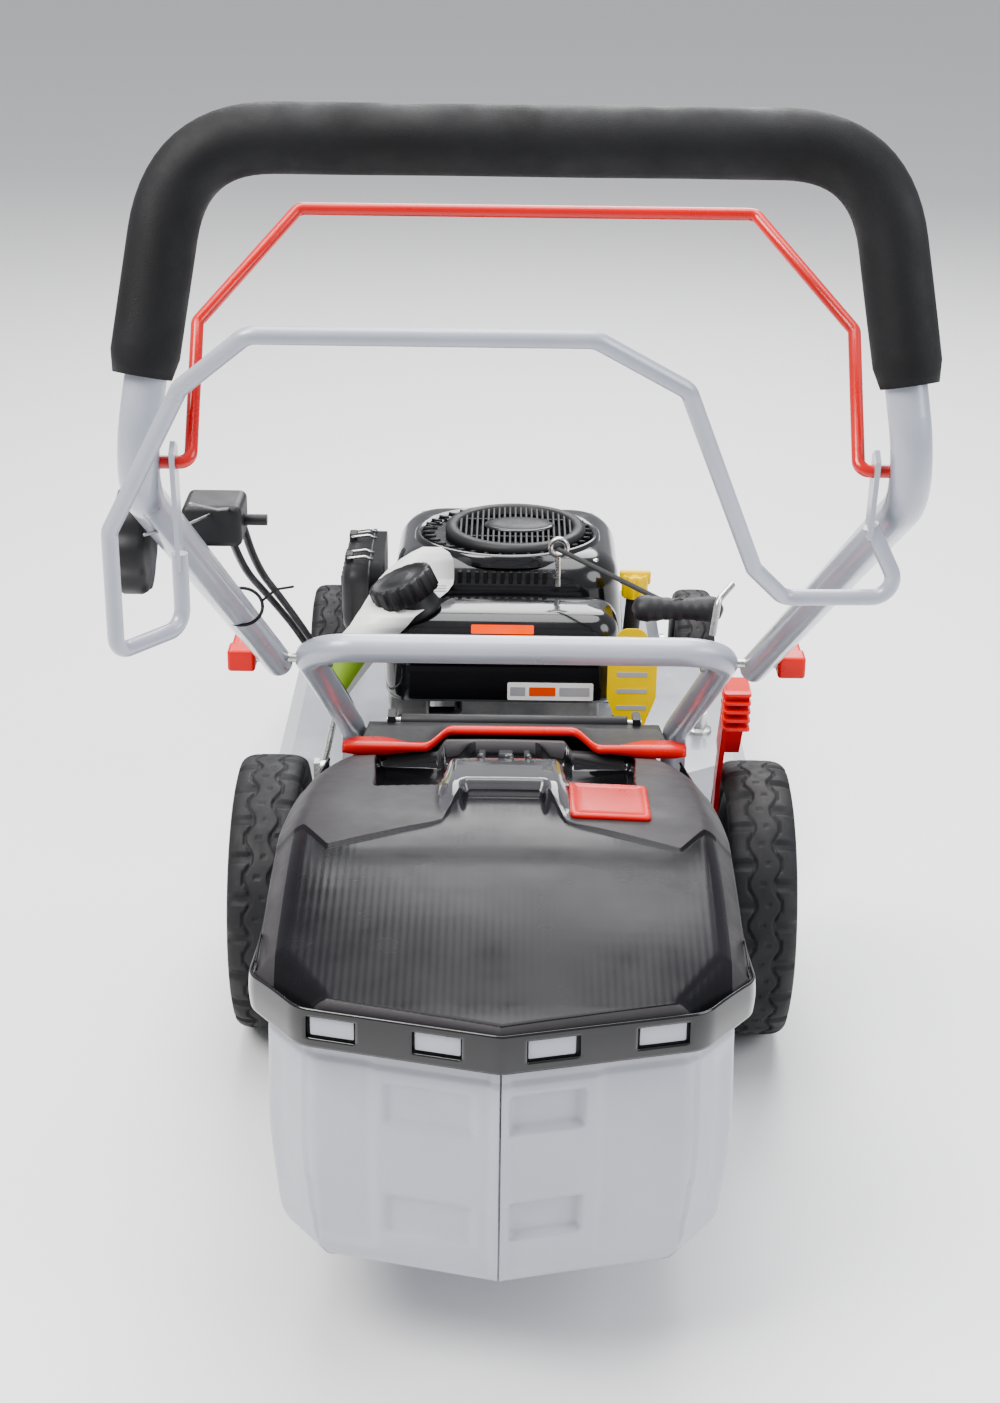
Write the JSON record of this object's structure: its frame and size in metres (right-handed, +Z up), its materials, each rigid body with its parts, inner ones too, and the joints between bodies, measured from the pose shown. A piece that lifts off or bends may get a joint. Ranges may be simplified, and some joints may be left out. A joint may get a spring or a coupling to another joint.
{
  "type": "push lawn mower",
  "caption": "Walk-behind petrol rotary mower with folding tubular handle, foam grip, two bails, height lever and rear hard-shell grass catcher.",
  "frame": {"origin": "on the ground, under the middle of the overall box", "axes": "+Z up, +Y forward, +X to the operator's right"},
  "size_m": [0.56, 1.711, 1.0335],
  "materials": {
    "deck_paint": "glossy silver-grey enamel",
    "tube_paint": "light bluish-grey powder coat",
    "red_paint": "red powder coat",
    "red_plastic": "red moulded plastic",
    "black_plastic": "black moulded plastic, fine grain",
    "black_gloss": "glossy black moulded plastic",
    "lid_plastic": "smoky black ribbed plastic",
    "bin_plastic": "light grey moulded plastic",
    "tyre_rubber": "black tread rubber",
    "foam": "closed-cell foam",
    "zinc": "zinc-plated steel",
    "steel": "bare steel",
    "cast_aluminium": "sand-cast aluminium",
    "cable_black": "black cable jacket",
    "rope": "braided cord",
    "tag": "coated card",
    "yellow_plastic": "yellow moulded plastic"
  },
  "bodies": {
    "root": {"deck_shell": "deck_paint", "rear_chute": "black_plastic", "axle_brackets": "steel", "flap_pin": "zinc", "wash_port": "zinc", "crankcase": "cast_aluminium", "cylinder": "cast_aluminium", "spark_plug": "black_plastic", "muffler": "steel", "blower_housing": "black_gloss", "cooling_grille": "black_plastic", "fuel_tank": "black_gloss", "air_cleaner_cover": "black_plastic", "carburettor": "cast_aluminium", "fuel_hose": "cable_black", "dipstick_tube": "black_plastic", "rope_guides": "zinc", "starter_rope": "rope", "lower_handle": "tube_paint", "handle_brackets": "steel", "handle_bolts": "zinc", "tags": "tag", "stop_cable": "cable_black", "drive_cable": "cable_black", "drive_belt": "cable_black"},
    "rear_crank": {"rear_axle_crank": "zinc", "height_lever": "red_plastic", "gearbox": "black_plastic", "drive_axle": "zinc"},
    "gearbox_input": {"gearbox_pulley": "zinc"},
    "front_crank": {"front_axle_crank": "zinc"},
    "link": {"link_rod": "zinc"},
    "engine_shaft": {"crankshaft": "steel", "flywheel_fan": "cast_aluminium", "blade_adapter": "steel", "blade": "steel"},
    "rear_wheel_left": {"rear_tyre_left": "tyre_rubber", "rear_rim_left": "black_plastic"},
    "rear_wheel_right": {"rear_tyre_right": "tyre_rubber", "rear_rim_right": "black_plastic"},
    "front_wheel_left": {"front_tyre_left": "tyre_rubber", "front_rim_left": "black_plastic"},
    "front_wheel_right": {"front_tyre_right": "tyre_rubber", "front_rim_right": "black_plastic"},
    "handle": {"upper_handle": "tube_paint", "foam_grip": "foam", "cable_bracket": "black_plastic", "control_housing": "black_plastic"},
    "stop_bail": {"stop_bail": "red_paint"},
    "drive_bail": {"drive_bail": "tube_paint"},
    "release_left": {"quick_release_left": "red_plastic"},
    "release_right": {"quick_release_right": "red_plastic"},
    "starter_grip": {"starter_grip": "black_plastic"},
    "fuel_cap": {"fuel_cap": "black_plastic"},
    "oil_cap": {"oil_cap": "yellow_plastic"},
    "rear_flap": {"rear_flap": "red_plastic"},
    "catcher": {"bag_lid": "lid_plastic", "bag_bin_left": "bin_plastic", "bag_bin_right": "bin_plastic"},
    "fill_indicator": {"fill_indicator": "red_plastic"}
  },
  "joints": [
    {"name": "height_adjust", "type": "hinge", "parent": "root", "child": "rear_crank", "pos_m": [0, 0.0698, 0.1529], "axis": [1, 0, 0], "range_deg": [0, 50], "deforming": ["drive_belt"]},
    {"name": "front_crank_turn", "type": "hinge", "parent": "root", "child": "front_crank", "pos_m": [0, 0.8038, 0.1129], "axis": [1, 0, 0], "range_deg": [0, 50]},
    {"name": "link_turn", "type": "hinge", "parent": "rear_crank", "child": "link", "pos_m": [-0.1945, 0.0698, 0.2569], "axis": [1, 0, 0], "range_deg": [-50, 0]},
    {"name": "crank_spin", "type": "hinge", "parent": "root", "child": "engine_shaft", "pos_m": [0, 0.3715, 0], "axis": [0, 0, 1], "continuous": true},
    {"name": "gearbox_input_spin", "type": "hinge", "parent": "rear_crank", "child": "gearbox_input", "pos_m": [0, 0.0215, 0.166], "axis": [0, 0, 1], "continuous": true},
    {"name": "rear_wheel_left_spin", "type": "hinge", "parent": "rear_crank", "child": "rear_wheel_left", "pos_m": [-0.244, 0.0215, 0.14], "axis": [1, 0, 0], "continuous": true},
    {"name": "rear_wheel_right_spin", "type": "hinge", "parent": "rear_crank", "child": "rear_wheel_right", "pos_m": [0.244, 0.0215, 0.14], "axis": [1, 0, 0], "continuous": true},
    {"name": "front_wheel_left_spin", "type": "hinge", "parent": "front_crank", "child": "front_wheel_left", "pos_m": [-0.237, 0.7555, 0.1], "axis": [1, 0, 0], "continuous": true},
    {"name": "front_wheel_right_spin", "type": "hinge", "parent": "front_crank", "child": "front_wheel_right", "pos_m": [0.237, 0.7555, 0.1], "axis": [1, 0, 0], "continuous": true},
    {"name": "handle_fold", "type": "hinge", "parent": "root", "child": "handle", "pos_m": [0, -0.2005, 0.487], "axis": [-1, 0, 0], "range_deg": [0, 128], "deforming": ["stop_cable", "drive_cable"]},
    {"name": "stop_bail_turn", "type": "hinge", "parent": "handle", "child": "stop_bail", "pos_m": [0, -0.7385, 0.828], "axis": [1, 0, 0], "range_deg": [0, 27], "stiffness_Nm_per_rad": 0.8, "springref_deg": -17.19},
    {"name": "drive_bail_turn", "type": "hinge", "parent": "handle", "child": "drive_bail", "pos_m": [0, -0.7385, 0.828], "axis": [-1, 0, 0], "range_deg": [0, 43], "stiffness_Nm_per_rad": 0.8, "springref_deg": -17.19},
    {"name": "release_left_turn", "type": "hinge", "parent": "root", "child": "release_left", "pos_m": [-0.24, -0.2005, 0.487], "axis": [1, 0, 0], "range_deg": [0, 150]},
    {"name": "release_right_turn", "type": "hinge", "parent": "root", "child": "release_right", "pos_m": [0.24, -0.2005, 0.487], "axis": [1, 0, 0], "range_deg": [0, 150]},
    {"name": "starter_pull", "type": "slide", "parent": "root", "child": "starter_grip", "axis": [0.1, -0.4502, 0.8873], "range_m": [0, 0.5], "deforming": ["starter_rope"]},
    {"name": "fuel_cap_turn", "type": "hinge", "parent": "root", "child": "fuel_cap", "pos_m": [-0.115, 0.2055, 0.397], "axis": [-0.4067, 0, 0.9135], "range_deg": [0, 90]},
    {"name": "oil_cap_turn", "type": "hinge", "parent": "root", "child": "oil_cap", "pos_m": [0.13, 0.2715, 0.374], "axis": [0, 0, 1], "range_deg": [0, 90]},
    {"name": "rear_flap_turn", "type": "hinge", "parent": "root", "child": "rear_flap", "pos_m": [0, 0.0355, 0.326], "axis": [-1, 0, 0], "range_deg": [0, 75]},
    {"name": "catcher_lift_off", "type": "slide", "parent": "root", "child": "catcher", "axis": [0, -0.985, 0.1726], "range_m": [0, 0.6]},
    {"name": "fill_indicator_turn", "type": "hinge", "parent": "catcher", "child": "fill_indicator", "pos_m": [0.081, -0.2465, 0.3916], "axis": [-1, 0, 0], "range_deg": [0, 35]}
  ],
  "couplings": [
    {"joint": "front_crank_turn", "follows": "height_adjust", "ratio": 1},
    {"joint": "link_turn", "follows": "height_adjust", "ratio": -1},
    {"joint": "gearbox_input_spin", "follows": "crank_spin", "ratio": 0.7333}
  ]
}
